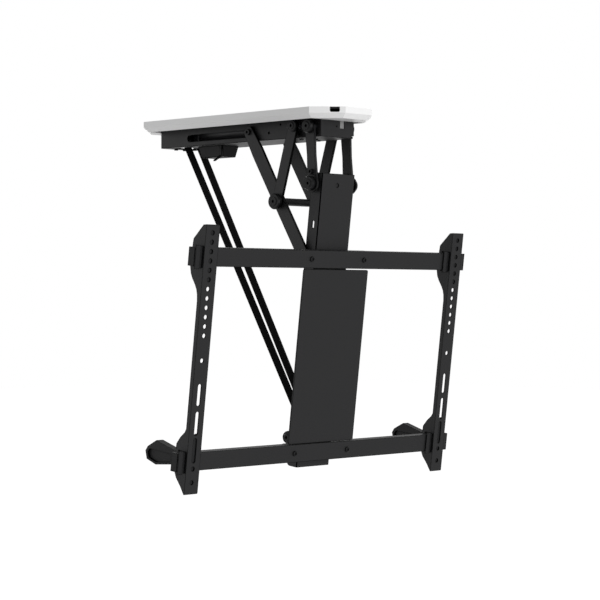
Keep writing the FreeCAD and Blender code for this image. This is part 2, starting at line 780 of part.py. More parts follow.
def front_links():
    """Pair of short waisted links at the front that keep the column's angle, each with a small screw."""
    mid_y, mid_z = (S.link_pivot_y + S.link_end_y) / 2, (S.link_pivot_z + S.link_end_z) / 2
    stops = [(S.link_pivot_y, S.link_pivot_z, S.link_half), (mid_y, mid_z, S.link_waist_half),
             (S.link_end_y, S.link_end_z, S.link_half)]
    bores = [(S.link_pivot_y, S.link_pivot_z, BORE), (S.link_end_y, S.link_end_z, S.bolt_size / 2)]
    share = S.link_screw_up / (S.link_pivot_z - S.link_end_z)
    screw_y = S.link_end_y + (S.link_pivot_y - S.link_end_y) * share
    screw_z = S.link_end_z + S.link_screw_up
    screws = body("link_screws")
    for word, side in SIDES:
        link_bar("front_link_" + word, side, S.link_plane, stops, bores)
        domed_bolt("link_end_bolt_" + word, side, S.link_plane + S.arm_thick, S.top_knob_size / 2,
                   S.column_width / 2 + S.face_gap, S.link_end_y, S.link_end_z,
                   S.knob_thick - S.knob_step, S.link_end_disc_size / 2)
        seat = (S.link_plane + S.arm_thick) * side
        made = sketch(screws, "YZ", seat)
        circle(made, screw_y, screw_z, S.link_screw_size / 2)
        pad(screws, made, S.link_screw_size / 2, reverse=side < 0)
        top = (S.link_plane + S.arm_thick + S.link_screw_size / 2) * side
        socket = hexagon(sketch(screws, "YZ", top), S.socket_size / math.sqrt(3), screw_y, screw_z)
        pocket(screws, socket, S.socket_deep, reverse=side < 0)


def column():
    """Upright channel that carries the rails, open to the rear, with ears at the knee and the strap axle."""
    owner = body("column")
    half, wall, front = S.column_width / 2, S.column_wall, S.column_front
    back = front + S.column_deep
    section = sketch(owner, "XY", S.column_bottom)
    inner, web = half - wall, front + wall
    outline(section, [(-half, front), (half, front), (half, back), (inner, back), (inner, web), (-inner, web),
                      (-inner, back), (-half, back)])
    pad(owner, section, S.column_top - S.column_bottom)
    rounded(owner, along(ALONG_Z, lambda c: abs(c.y - front.value) < 0.1), 2)
    knee = screen_point(S.knee_y, S.knee_z)
    for y, z in (knee, (S.axle_back, S.axle_drop)):
        for start in (-half, half - wall):
            pad(owner, circle(sketch(owner, "YZ", start), y, z, S.ear_half), wall)
    holes = sketch(owner, "YZ")
    circle(holes, knee[0], knee[1], BORE)
    circle(holes, S.axle_back, S.axle_drop, S.bolt_size / 2)
    end = screen_point(S.link_end_y, S.link_end_z)
    circle(holes, end[0], end[1], S.bolt_size / 2)
    # short cable slots in both flanges
    slot_back, slot_half = front + S.flange_slot_back, S.flange_slot_wide / 2
    bar(holes, slot_back, S.flange_slot_top, slot_back, S.flange_slot_top - S.flange_slot_long, slot_half)
    pocket(owner, holes, S.column_width + 2, middle=True)
    # shallow round dimple in the front, near the top
    dimple = sketch(owner, "XZ", -front)
    circle(dimple, S.front_screw_x, S.front_screw_up, S.front_screw_size / 2)
    pocket(owner, dimple, wall / 2)
    # the lower rear corners are rounded off
    lowest, rearmost = S.column_bottom.value + 1, back.value - 1
    rounded(owner, along(ALONG_X, lambda c: c.z < lowest and c.y > rearmost), S.bolt_size)
    on_screen_plane(owner)


def shroud():
    """Wide flat front cover of the column, held off it by four posts."""
    owner = body("column_cover")
    half, wall, front = S.shroud_width / 2, S.shroud_wall, S.shroud_front
    made = sketch(owner, "XZ", -front)
    rectangle(made, -half, S.shroud_bottom, half, S.shroud_top)
    pad(owner, made, wall, reverse=True)
    rounded(owner, along(ALONG_Y), S.shroud_corner)
    on_screen_plane(owner)
    posts = body("cover_posts")
    made = sketch(posts, "XZ", -S.column_front)
    for up in (S.shroud_top - S.post_in, S.shroud_bottom + S.post_in):
        for side in (-1, 1):
            circle(made, S.post_x * side, up, S.post_size / 2)
    pad(posts, made, S.column_front - front - wall)
    on_screen_plane(posts)


def rails():
    """Two box bars across the column, each on a backing plate, with end caps and screws."""
    half = S.rail_long / 2
    front, back = S.rail_front, S.rail_front + S.rail_deep
    wall = S.rail_wall
    tall = S.rail_tall / 2
    screws = body("rail_screws")
    caps = body("rail_caps")
    for word, up in (("upper", S.upper_rail), ("lower", S.lower_rail)):
        owner = body("rail_" + word)
        made = sketch(owner, "YZ")
        rectangle(made, front, up - tall, back, up + tall)
        rectangle(made, front + wall, up - tall + wall, back - wall, up + tall - wall)
        pad(owner, made, S.rail_long - S.cap_thick * 2, middle=True)
        on_screen_plane(owner)
        # end caps: a plug in the bar and a lid over its end
        plug_in = wall + S.cap_gap
        for start, long, inset in ((half - S.cap_thick - S.cap_plug, S.cap_plug, plug_in),
                                   (half - S.cap_thick, S.cap_thick, 0)):
            for side in (-1, 1):
                made = sketch(caps, "YZ", start * side)
                rectangle(made, front + inset, up - tall + inset, back - inset, up + tall - inset)
                pad(caps, made, long, reverse=side < 0)
        for side in (-1, 1):
            made = circle(sketch(screws, "XZ", -front), S.rail_screw_x * side, up, S.rail_screw_head / 2)
            pad(screws, made, S.rail_screw_thick)
        # backing plate, welded to the column
        plate = body("rail_plate_" + word)
        made = sketch(plate, "XZ", -S.column_front)
        rectangle(made, -S.shroud_width / 2, up - tall, S.shroud_width / 2, up + tall)
        pad(plate, made, S.column_front - back)
        on_screen_plane(plate)
    brow = (front - S.rail_screw_thick).value
    rounded(screws, lambda e: abs(e.CenterOfMass.y - brow) < 0.1, S.knob_bevel)
    sockets = sketch(screws, "XZ", -front + S.rail_screw_thick)
    for up in (S.upper_rail, S.lower_rail):
        for side in (-1, 1):
            hexagon(sockets, S.socket_size / 2, S.rail_screw_x * side, up)
    pocket(screws, sockets, S.rail_screw_thick / 2)
    on_screen_plane(screws)
    on_screen_plane(caps)


def strap_axle():
    """Axle across the column's lower end, with a sleeve that takes the straps' loops and a knob each side."""
    end = S.column_width / 2
    inner = end - S.column_wall
    sleeve("strap_sleeve", -inner, inner, S.sleeve_size / 2, S.bolt_size / 2, 0, 0)
    y, z = mount_point(S.axle_back, S.axle_drop)
    place(nodes["strap_sleeve"], 0, y, z)
    for word, side in SIDES:
        domed_bolt("axle_bolt_" + word, side, end, S.axle_knob_size / 2, 10, y, z)


# outlines of the cut sheet: how far behind the face, how far above the middle of the rail
UPPER_LOBE = ((6.9, 51.3), (27.6, 27.2), (28.5, 16.2), (30, -17.8), (27.2, -28.3), (22.8, -35.8),
              (15.7, -44.8), (11.3, -52.2), (9, -59.8))
LOWER_LOBE = ((10.3, 48.1), (19.4, 39), (27.5, 27.4), (28.2, 15.3), (28.6, -15.2), (22, -27.6), (10.6, -39.5),
              (2.6, -49.9))
# outlines of the stop: how far behind the clamp, how far above the middle of the rail
STOP_OUTER = ((9.9, 14.9), (55.4, 23.5), (75.6, 10.2), (80.1, 2.3), (75.5, -10.6), (52.9, -16.1),
              (16.3, -9.3))
STOP_RECESS = ((18.9, 7.1), (70.4, 7.1), (74.5, 1.4), (71.4, -7.6), (53, -12.2), (18.9, -6))


def bracket(word, side):
    """Screen bracket: a slotted face with a shaped flange on its left edge, cut out round both rails."""
    owner = body("bracket_" + word)
    wall = S.bracket_wall
    left = S.bracket_spacing / 2 * side - S.bracket_hole_in
    face = sketch(owner, "XZ", -wall)
    rectangle(face, left, -S.bracket_tall, left + S.bracket_width, 0)
    pad(owner, face, wall)
    flange = sketch(owner, "YZ", left)
    upper, lower = S.upper_rail, S.lower_rail
    points = [(0, 0)]
    points += [(back, upper + rise) for back, rise in UPPER_LOBE]
    points += [(S.flange_thin, upper - S.lobe_reach), (S.flange_thin, lower + S.low_lobe_reach)]
    points += [(back, lower + rise) for back, rise in LOWER_LOBE]
    outline(flange, points + [(0, -S.bracket_tall)])
    pad(owner, flange, wall)
    # cut-outs for the rails, open behind the face
    room = S.clamp_wall + S.slide_gap
    cuts = sketch(owner, "YZ", left - 1)
    for up in (upper, lower):
        half = S.rail_tall / 2 + room
        rectangle(cuts, S.rail_front - room, up - half, S.rail_front + S.rail_deep + 2, up + half)
    pocket(owner, cuts, wall + 1, reverse=True)
    # round holes above, slots below
    holes = sketch(owner, "XZ", -wall - 1)
    x = left + S.bracket_hole_in
    radius = S.bracket_hole_size / 2
    for i in range(12):
        circle(holes, x, -S.bracket_hole_first - S.bracket_hole_pitch * i, radius)
    circle(holes, x, -S.bracket_mid_hole, radius)
    for top, low in ((S.slot_one_top, S.slot_one_low), (S.slot_two_top, S.slot_two_low),
                     (S.slot_three_top, S.slot_three_low)):
        bar(holes, x, -top - radius, x, -low + radius, radius)
    circle(holes, x, -S.bracket_low_hole, radius)
    circle(holes, x, -S.bracket_hole_first - S.screen_pattern, radius)
    pocket(owner, holes, wall + 2, reverse=True)
    rounded(owner, along(ALONG_Y, lambda c: abs(c.x - (left + S.bracket_width).value) < 0.1), S.bracket_round)
    on_screen_plane(owner)
    clamps_of(word, left)
    stop_arm(word, left)


def clamps_of(word, left):
    """Plastic clamps that slide on both rails: a ring, a pad behind the face, a lip outside."""
    clamps = body("clamps_" + word)
    gap, grip = S.slide_gap, S.clamp_wall
    start = left + S.bracket_wall
    y0, y1 = S.rail_front - gap, S.rail_front + S.rail_deep + gap
    half = S.rail_tall / 2 + gap
    for up in (S.upper_rail, S.lower_rail):
        made = sketch(clamps, "YZ", start)
        rectangle(made, y0 - grip, up - half - grip, y1 + grip, up + half + grip)
        rectangle(made, y0, up - half, y1, up + half)
        pad(clamps, made, S.clamp_long)
        made = sketch(clamps, "XZ", -S.bracket_wall)
        reach, corner = S.clamp_pad_reach, S.clamp_pad_corner
        end = start + S.clamp_long
        outline(made, [(start, up - reach + corner), (start + corner, up - reach), (end, up - reach),
                       (end, up + reach), (start + corner, up + reach), (start, up + reach - corner)])
        pad(clamps, made, y0 - grip - S.bracket_wall, reverse=True)
        # the lip reaches out through the flange, thinner where it passes
        made = sketch(clamps, "XZ", -y0)
        thin = half + grip - S.cap_gap
        rectangle(made, left - S.clamp_lip_gap, up - thin, start, up + thin)
        pad(clamps, made, grip / 2)
        made = sketch(clamps, "XZ", -y0)
        rectangle(made, left - S.clamp_lip_out, up - S.clamp_lip_tall / 2, left - S.clamp_lip_gap,
                  up + S.clamp_lip_tall / 2)
        pad(clamps, made, grip)
    on_screen_plane(clamps)


def stop_arm(word, left):
    """Plastic stop behind the lower rail, its outer side recessed below a ridge."""
    arm = body("stop_arm_" + word)
    start = left + S.bracket_wall
    root = S.rail_front + S.rail_deep + S.slide_gap + S.clamp_wall
    made = sketch(arm, "YZ", start)
    points = [(root, S.lower_rail + STOP_OUTER[-1][1]), (root, S.lower_rail + STOP_OUTER[0][1])]
    outline(made, points + [(root + back, S.lower_rail + rise) for back, rise in STOP_OUTER])
    pad(arm, made, S.stop_thick)
    made = sketch(arm, "YZ", start)
    outline(made, [(root + back, S.lower_rail + rise) for back, rise in STOP_RECESS])
    pocket(arm, made, S.stop_recess, reverse=True)
    on_screen_plane(arm)


def straps():
    """Two flat lifting straps from the winch drum to the axle on the column."""
    axle_y, axle_z = mount_point(S.axle_back, S.axle_drop)
    reach = S.drum_core / 2 + S.strap_thick / 2
    low_reach = S.sleeve_size / 2 + S.strap_thick / 2
    dy, dz = axle_y.value - S.drum_y.value, axle_z.value - S.drum_z.value
    apart = math.hypot(dy, dz)
    # the strap runs from the rear of the drum to the front of the sleeve, so it crosses the line of centres
    line = math.atan2(dz, dy)
    lean = math.asin((reach.value + low_reach.value) / apart)
    way = line - lean
    across = Vector(0, math.sin(way), -math.cos(way))
    if across.y < 0:
        across = -across
    for word, side in SIDES:
        # the two straps draw together towards the column
        drum = Vector(S.strap_x.value * side, S.drum_y.value, S.drum_z.value)
        axle = Vector(S.strap_low_x.value * side, axle_y.value, axle_z.value)
        start = drum + across * (reach.value + S.face_gap.value)
        end = axle - across * (low_reach.value + S.face_gap.value)
        owner = doc.addObject("Part::Box", "strap_" + word)
        owner.Label = "strap_" + word
        owner.setExpression("Length", S.strap_wide.text)
        owner.setExpression("Width", S.strap_thick.text)
        owner.Height = (end - start).Length
        # its width lies as near to X as its slant allows
        down = (end - start).normalize()
        flat = across.cross(down).normalize()
        if flat.x < 0:
            flat = -flat
        turn = FreeCAD.Rotation(flat, down.cross(flat), down, "ZXY")
        corner = turn.multVec(Vector(S.strap_wide.value / 2, S.strap_thick.value / 2, 0))
        owner.Placement = FreeCAD.Placement(start - corner, turn)
        nodes["strap_" + word] = owner
        print("strap from", start, "to", end, "length", (end - start).Length)
    doc.recompute()


def winch():
    """Drum on its shaft, with the gearbox, the motor and what holds them inside the channel."""
    core, rim, shaft = S.drum_core / 2, S.drum_flange / 2, S.shaft_size / 2
    inner = S.strap_x - S.strap_wide / 2 - 1
    outer = S.strap_x + S.strap_wide / 2 + 0.7
    edge = outer + S.drum_rim
    owner = body("winch_drum")
    made = sketch(owner, "XZ")
    outline(made, [(-edge, shaft), (-edge, rim), (-outer, rim), (-outer, core), (-inner, core), (-inner, rim),
                   (inner, rim), (inner, core), (outer, core), (outer, rim), (edge, rim), (edge, shaft)])
    turn = owner.newObject("PartDesign::Revolution", "drum_turn")
    turn.Profile = made
    turn.ReferenceAxis = (made, ["H_Axis"])
    turn.Angle = 360
    place(owner, 0, S.drum_y, S.drum_z)
    wall = S.channel_width / 2 - S.channel_wall
    near, far = -wall + shaft, edge + shaft * 2
    turned("drum_shaft", [(near, 0), (near, shaft), (far, shaft), (far, 0)], S.drum_y, S.drum_z)
    # bearing bracket at the shaft's free end
    owner = body("bearing_bracket")
    made = sketch(owner, "YZ", -wall + 2)
    low = -S.channel_bottom + S.channel_wall
    rectangle(made, S.drum_y - S.bearing_half, low, S.drum_y + S.bearing_half, -S.plate_thick)
    circle(made, S.drum_y, S.drum_z, shaft + S.running_gap)
    pad(owner, made, S.bearing_thick)
    # gearbox: an angled casting, one leg behind the motor and one beside the drum
    owner = body("gearbox")
    made = sketch(owner, "XY", low + 1)
    inside = edge + S.drum_rim
    leg = S.gearbox_leg
    motor_end = S.drum_y - S.drum_flange / 2 - leg - 2
    side = wall - S.slot_washer_size / 4
    body_end, leg_end = motor_end + leg, S.drum_y + S.drum_flange / 2 + 2
    outline(made, [(-S.motor_size / 2 - 3, motor_end), (side, motor_end), (side, leg_end), (inside, leg_end),
                   (inside, body_end), (-S.motor_size / 2 - 3, body_end)])
    pad(owner, made, -S.plate_thick - low - 1)
    bore = circle(sketch(owner, "YZ", inside), S.drum_y, S.drum_z, shaft + S.running_gap)
    pocket(owner, bore, 9, reverse=True)
    rounded(owner, along(ALONG_Z), 2)
    # motor, lying along the channel
    owner = body("gear_motor")
    axis_z = (low - S.plate_thick) / 2
    made = circle(sketch(owner, "XZ", -motor_end), 0, axis_z, S.motor_size / 2)
    pad(owner, made, S.motor_long)
    made = circle(sketch(owner, "XZ", -motor_end + S.motor_long), 0, axis_z, S.shaft_size)
    pad(owner, made, S.shaft_size / 2)
    owner = body("motor_saddles")
    reach = S.motor_size / 2 + S.saddle_side
    for share in (0.25, 0.75):
        start = -motor_end + S.motor_long * share - S.saddle_thick / 2
        made = sketch(owner, "XZ", start)
        rectangle(made, -reach, axis_z, reach, -S.plate_thick)
        pad(owner, made, S.saddle_thick)
        seat = circle(sketch(owner, "XZ", start), 0, axis_z, S.motor_size / 2)
        pocket(owner, seat, S.saddle_thick, reverse=True)


def control_box():
    """Box under the channel, tapered, with a circuit board inside and a cable hook at its side."""
    owner = body("control_box")
    top = -S.channel_bottom
    deep = top - S.box_bottom
    half = S.box_half
    taper = S.box_taper
    upper = sketch(owner, "XY", top)
    rectangle(upper, -half - taper, S.box_front - taper, half + taper, S.box_rear + taper)
    lower = sketch(owner, "XY", S.box_bottom)
    rectangle(lower, -half + taper, S.box_front + taper, half - taper, S.box_rear - taper)
    lofted(owner, "AdditiveLoft", upper, lower)
    inside = sketch(owner, "XY", top)
    wall = S.box_wall + taper
    rectangle(inside, -half + wall, S.box_front + wall, half - wall, S.box_rear - wall)
    pocket(owner, inside, deep - S.box_wall)
    rounded(owner, lambda e: abs(e.CenterOfMass.z - S.box_bottom.value) < 0.1, S.channel_round)
    board = body("circuit_board")
    floor = S.box_bottom + S.box_wall + S.face_gap
    made = sketch(board, "XY", floor)
    room = wall + S.face_gap
    rectangle(made, -half + room, S.box_front + room, half - room, S.box_rear - room)
    pad(board, made, S.board_thick)
    chips = sketch(board, "XY", floor + S.board_thick)
    mid = (S.box_front + S.box_rear) / 2
    chip = S.chip_tall
    rectangle(chips, -chip, mid - chip, chip, mid + chip)
    rectangle(chips, -chip * 1.5, mid + chip * 2, chip * 1.5, mid + chip * 3)
    pad(board, chips, chip)
    # the hook hangs from the channel beside the box and turns outwards at its foot
    hook = body("cable_hook")
    made = sketch(hook, "XZ", -S.box_front)
    inner = -half - taper - S.face_gap
    outer = inner - S.hook_thick
    bend, tip, foot = S.box_bottom, outer - S.hook_reach, S.box_bottom - S.hook_drop
    outline(made, [(inner, top), (inner, bend), (tip, foot), (tip, foot + S.hook_thick),
                   (outer, bend + S.hook_thick), (outer, top)])
    pad(hook, made, S.hook_wide, reverse=True)


def underside_screws():
    """Screws in the channel's underside, three behind its front end and two at its rear."""
    owner = body("channel_screws")
    made = sketch(owner, "XY", -S.channel_bottom)
    side = S.under_screw_x
    for x, y in ((-side, FRONT + S.bracket_reach), (side, FRONT + S.bracket_reach), (0, FRONT + S.screw_back),
                 (-side / 2, REAR - S.under_screw_size), (side / 2, REAR - S.under_screw_size)):
        circle(made, x, y, S.under_screw_size / 2)
    pad(owner, made, S.under_screw_thick, reverse=True)


ceiling_cover()
ceiling_plate()
channel()
channel_front()
pivot_bracket()
pivots()
cranks()
long_arms()
front_links()
column()
shroud()
rails()
strap_axle()
for word, side in SIDES:
    bracket(word, side)
straps()
winch()
control_box()
underside_screws()
doc.recompute()

for item in doc.Objects:
    if "Invalid" in item.State or "Error" in item.State:
        raise RuntimeError("%s is %s" % (item.Label, item.State))
for name, item in nodes.items():
    if item.Shape.isNull() or not item.Shape.isValid():
        raise RuntimeError("%s has no sound shape" % name)

os.makedirs("parts", exist_ok=True)
for name, item in nodes.items():
    item.Shape.exportStep("parts/%s.step" % name)
print(len(nodes), "nodes")
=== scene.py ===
# %% [markdown]
# # A folding ceiling mount for a television
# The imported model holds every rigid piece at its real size, sorted into the groups that move together.
# This script leaves those shapes alone. It gives each piece its finish, weaves the two lifting straps,
# fills one small window, and sets the camera, the floor and the lights.

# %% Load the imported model
import bpy
import bmesh
import json
import math
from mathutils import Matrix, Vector


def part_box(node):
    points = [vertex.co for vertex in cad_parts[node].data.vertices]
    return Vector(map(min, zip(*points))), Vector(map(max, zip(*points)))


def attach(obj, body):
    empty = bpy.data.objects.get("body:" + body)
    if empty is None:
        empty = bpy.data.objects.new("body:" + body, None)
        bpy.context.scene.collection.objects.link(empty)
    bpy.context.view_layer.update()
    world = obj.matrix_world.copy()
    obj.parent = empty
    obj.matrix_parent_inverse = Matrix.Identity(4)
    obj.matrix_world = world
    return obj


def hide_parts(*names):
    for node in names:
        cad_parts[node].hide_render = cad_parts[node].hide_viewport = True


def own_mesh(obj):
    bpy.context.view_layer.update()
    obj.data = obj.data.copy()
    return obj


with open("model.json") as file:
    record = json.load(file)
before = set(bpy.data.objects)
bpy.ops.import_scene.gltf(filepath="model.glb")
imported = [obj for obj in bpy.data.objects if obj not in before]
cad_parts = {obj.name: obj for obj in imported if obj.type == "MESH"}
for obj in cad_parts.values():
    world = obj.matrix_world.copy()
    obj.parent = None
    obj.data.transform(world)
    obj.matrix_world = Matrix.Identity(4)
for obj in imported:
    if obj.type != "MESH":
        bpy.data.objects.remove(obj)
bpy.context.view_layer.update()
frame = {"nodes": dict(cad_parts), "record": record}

nodes = frame["nodes"]
MM = 0.001

# %% [markdown]
# ## Colours and small helpers
# Colours are written as the sRGB hex values that one reads off a screen. Shaders work with linear light,
# so one function turns one into the other. Another adds a node, sets it up and links it, which keeps each
# material to a few lines. The rest start a material, put an object in the scene, and say how dense a
# noise must be for features of a given size.

# %% Helpers


def linear(hex_colour):
    """An sRGB hex value as linear red, green, blue and alpha."""
    parts = [int(hex_colour[i : i + 2], 16) / 255 for i in (1, 3, 5)]
    return [p / 12.92 if p <= 0.04045 else ((p + 0.055) / 1.055) ** 2.4 for p in parts] + [1.0]


def lighter(hex_colour, times):
    """The same colour with its linear light multiplied."""
    return [min(1, part * times) for part in linear(hex_colour)[:3]] + [1.0]


def add(tree, kind, values=None, links=None, **settings):
    """One node: settings are its own fields, values its sockets, links where its sockets come from."""
    node = tree.nodes.new(kind)
    for name, value in settings.items():
        setattr(node, name, value)
    for name, value in (values or {}).items():
        node.inputs[name].default_value = value
    for name, source in (links or {}).items():
        tree.links.new(source, node.inputs[name])
    return node


def start_material(name):
    """A new material with its node tree, its shader and its object coordinates."""
    made = bpy.data.materials.new(name)
    made.use_nodes = True
    tree = made.node_tree
    tree.nodes.clear()
    shader = add(tree, "ShaderNodeBsdfPrincipled")
    add(tree, "ShaderNodeOutputMaterial", links={"Surface": shader.outputs["BSDF"]})
    place = add(tree, "ShaderNodeTexCoord").outputs["Object"]
    return made, tree, shader, place


def cycles_per_metre(size_mm):
    """Scale of a noise whose features are about size_mm across."""
    return 1 / (size_mm * MM)


def put(name, data):
    """A new object in the scene, made of this data."""
    made = bpy.data.objects.new(name, data)
    bpy.context.scene.collection.objects.link(made)
    return made


print("middle grey in linear light:", round(linear("#808080")[0], 3))

# %% [markdown]
# ## Painted shade at folds on a powder coat
# The channel, arms, column, rails and brackets are mild steel, cut, folded and then powder coated in
# matt black. Each fold and cut edge shows as a fine dark line of shade, and that shade is painted into
# the
# coat here: near folds and edges its colour and gloss are taken off. Painting such lines by hand would
# have to follow every piece; two tests find the places by themselves. The Bevel node gives the direction
# that a rounded edge would have: where it turns away from the real face, the place is close to a sharp
# edge. The flat faces of this mount look along an axis or lean from it by less than 10 degrees, as the
# column does, so a face that looks any other way is a bend or a cut edge.

# %% Painted shade at folds and edges
EDGE_TURNED, EDGE_FLAT = 0.88, 0.995  # how alike the rounded and the real direction are, as a cosine
BEND_TURNED, BEND_FLAT = 0.955, 0.986  # cosines of 17 and 10 degrees off the nearest axis
BEVEL_SAMPLES = 6


def near_edge(tree, width_mm):
    """1 on flat faces, falling to 0 on bends and close to a sharp edge."""
    rounded = add(tree, "ShaderNodeBevel", {"Radius": width_mm * MM}, samples=BEVEL_SAMPLES)
    face = add(tree, "ShaderNodeNewGeometry")
    alike = add(tree, "ShaderNodeVectorMath", operation="DOT_PRODUCT",
                links={0: rounded.outputs["Normal"], 1: face.outputs["Normal"]})
    sharp = add(tree, "ShaderNodeMapRange", {"From Min": EDGE_TURNED, "From Max": EDGE_FLAT},
                {"Value": alike.outputs["Value"]})
    turned = add(tree, "ShaderNodeTexCoord").outputs["Normal"]
    size = add(tree, "ShaderNodeVectorMath", links={0: turned}, operation="ABSOLUTE")
    parts = add(tree, "ShaderNodeSeparateXYZ", links={"Vector": size.outputs["Vector"]})
    wide = add(tree, "ShaderNodeMath", operation="MAXIMUM",
               links={0: parts.outputs["X"], 1: parts.outputs["Y"]})
    most = add(tree, "ShaderNodeMath", operation="MAXIMUM",
               links={0: wide.outputs["Value"], 1: parts.outputs["Z"]})
    bend = add(tree, "ShaderNodeMapRange", {"From Min": BEND_TURNED, "From Max": BEND_FLAT},
               {"Value": most.outputs["Value"]})
    flat = add(tree, "ShaderNodeMath", operation="MULTIPLY",
               links={0: sharp.outputs["Result"], 1: bend.outputs["Result"]})
    return flat.outputs["Value"]


def paint_edge_shade(tree, shader, colour, width_mm):
    """Paints shade near folds and edges: a darker colour, and black metal there, which sends hardly any
    light back.
    """
    flat = near_edge(tree, width_mm)
    # painted shade: how much of the coat near folds and edges becomes black metal without gloss
    thin = add(tree, "ShaderNodeMath", {0: 1.0}, {1: flat}, operation="SUBTRACT")
    shade = add(tree, "ShaderNodeVectorMath", links={0: colour, 1: flat}, operation="MULTIPLY")
    tree.links.new(shade.outputs["Vector"], shader.inputs["Base Color"])
    tree.links.new(thin.outputs["Value"], shader.inputs["Metallic"])


print("full darkness beyond", round(math.degrees(math.acos(BEND_TURNED))), "degrees off an axis")

# %% [markdown]
# ## Black powder coat
# The powder melts into a skin with a slight orange peel of about half a millimetre. A picture of such a
# skin would have to be unfolded over every piece; noise needs no picture and follows the object's own
# size. The real grain is finer than a pixel here, so it is drawn at 1.4 mm to show at all. A slow change
# of roughness over some centimetres keeps large faces from looking printed.

# %% Powder-coated steel
PATCH_MM = 60  # width of the slow changes of gloss
PATCH_SWING = 0.05  # how far they move the roughness either way
PEEL_HEIGHT = 0.05 * MM
PEEL_ENDS = 0.35, 0.65  # the noise seldom leaves this range
COAT_IOR = 1.45


def powder_coat(name, colour, roughness, gloss=0.3, peel_mm=1.4, depth=0.25, spread=1.16, edge_shade_mm=0.0):
    """A coat whose peel swings between colour and spread times colour; a nonzero edge width paints shade
    along its folds.
    """
    made, tree, shader, place = start_material(name)
    peel = add(tree, "ShaderNodeTexNoise",
               {"Scale": cycles_per_metre(peel_mm), "Detail": 3.0, "Roughness": 0.6}, {"Vector": place})
    patch = add(tree, "ShaderNodeTexNoise", {"Scale": cycles_per_metre(PATCH_MM), "Detail": 2.0},
                {"Vector": place})
    sheen = add(tree, "ShaderNodeMapRange",
                {"To Min": roughness - PATCH_SWING, "To Max": roughness + PATCH_SWING},
                {"Value": patch.outputs["Fac"]})
    ramp = add(tree, "ShaderNodeValToRGB", links={"Fac": peel.outputs["Fac"]})
    tones = linear(colour), lighter(colour, spread)
    for end, tone, position in zip(ramp.color_ramp.elements, tones, PEEL_ENDS):
        end.color = tone
        end.position = position
    bump = add(tree, "ShaderNodeBump", {"Strength": depth, "Distance": PEEL_HEIGHT},
               {"Height": peel.outputs["Fac"]})
    tree.links.new(ramp.outputs["Color"], shader.inputs["Base Color"])
    # painted shade along the folds and cut edges, when an edge width is given
    if edge_shade_mm:
        paint_edge_shade(tree, shader, ramp.outputs["Color"], edge_shade_mm)
    tree.links.new(sheen.outputs["Result"], shader.inputs["Roughness"])
    tree.links.new(bump.outputs["Normal"], shader.inputs["Normal"])
    shader.inputs["Specular IOR Level"].default_value = gloss
    shader.inputs["IOR"].default_value = COAT_IOR
    return made


# the coated steel gets painted shade along its folds and cut edges
black_steel = powder_coat("powder_coated_black_steel", "#161617", 0.50, gloss=0.19, edge_shade_mm=2.2)
black_tube = powder_coat("powder_coated_black_tube", "#161617", 0.50, gloss=0.21)
print("made", black_steel.name, "and", black_tube.name)

# %% [markdown]
# ## White cover
# The ceiling cover is pressed from thin sheet and coated in smooth satin white. It is almost plain: only
# a very low, wide unevenness in its gloss and the faintest peel tell it from paper. The same function
# makes it, with a wider and much shallower peel.

# %% White enamel
white_cover = powder_coat("satin_white_coated_cover", "#E7E7E7", 0.38, gloss=0.2, peel_mm=3.0,
                          depth=0.02, spread=1.02)
print("made", white_cover.name)

# %% [markdown]
# ## Black bolts
# The pivot bolts and screws are steel with a black oxide finish. That is a thin dark layer with a little
# of the metal's gloss left, so the shader is part metal. A fine noise moves the roughness and the height,
# and stands for the marks of turning. Rings round each head would need each bolt's own axis, and they
# are smaller than a pixel here.

# %% Black oxide steel
black_bolts, tree, shader, place = start_material("black_oxide_bolt")
marks = add(tree, "ShaderNodeTexNoise", {"Scale": cycles_per_metre(0.8), "Detail": 4.0},
            {"Vector": place})
rough = add(tree, "ShaderNodeMapRange", {"To Min": 0.32, "To Max": 0.5}, {"Value": marks.outputs["Fac"]})
bump = add(tree, "ShaderNodeBump", {"Strength": 0.2, "Distance": 0.03 * MM},
           {"Height": marks.outputs["Fac"]})
tree.links.new(rough.outputs["Result"], shader.inputs["Roughness"])
tree.links.new(bump.outputs["Normal"], shader.inputs["Normal"])
shader.inputs["Base Color"].default_value = linear("#0B0B0C")
shader.inputs["Metallic"].default_value = 0.35
shader.inputs["Specular IOR Level"].default_value = 0.15
print("made", black_bolts.name)

# %% [markdown]
# ## Moulded nylon
# Clamps, end caps, stop arms and the control box are glass-filled nylon, moulded in a spark-eroded tool.
# That gives an even, slightly pebbled matt skin, darker than the coated steel. The distance to the
# nearest cell of a Voronoi pattern is a quick way to such pebbles. The photograph shows the clamps
# lighter than the box, so they have a nylon of their own. The circuit board's lacquer is as even, so the
# same function makes it.

# %% Nylon
PEBBLE_HEIGHT = 0.06 * MM
PEBBLE_SWING = 0.06
PEBBLE_LIGHTER = 1.12
NYLON_GLOSS = 0.12
NYLON_IOR = 1.53


